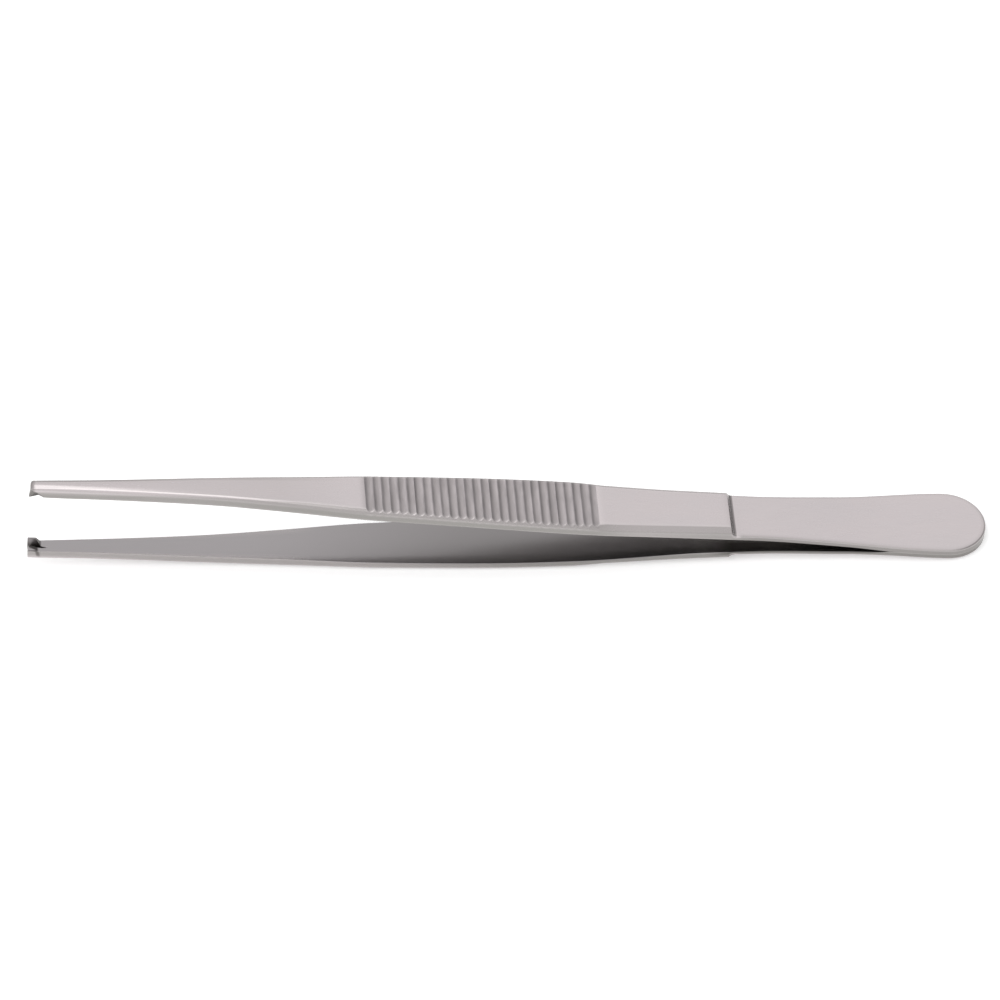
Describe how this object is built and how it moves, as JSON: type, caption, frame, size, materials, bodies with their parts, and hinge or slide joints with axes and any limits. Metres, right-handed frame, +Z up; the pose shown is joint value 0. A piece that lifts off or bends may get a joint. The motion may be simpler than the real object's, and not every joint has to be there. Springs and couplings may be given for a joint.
{
  "type": "thumb forceps",
  "caption": "Steel tissue forceps: sprung arms welded at a rounded flat butt, cross-grooved grips, and narrow jaws ending in a tooth that meets a forked notch.",
  "frame": {"origin": "centre of the bounding box on the floor that the forceps lies on", "axes": "+X from the toothed tips to the rounded butt, +Y across the arms, +Z up, the way the upper arm opens"},
  "size_m": [0.1452, 0.0122, 0.0166],
  "materials": {
    "satin_steel": "satin, fine lengthwise grain"
  },
  "bodies": {
    "root": {"upper_arm": "satin_steel", "lower_arm": "satin_steel"}
  },
  "joints": []
}
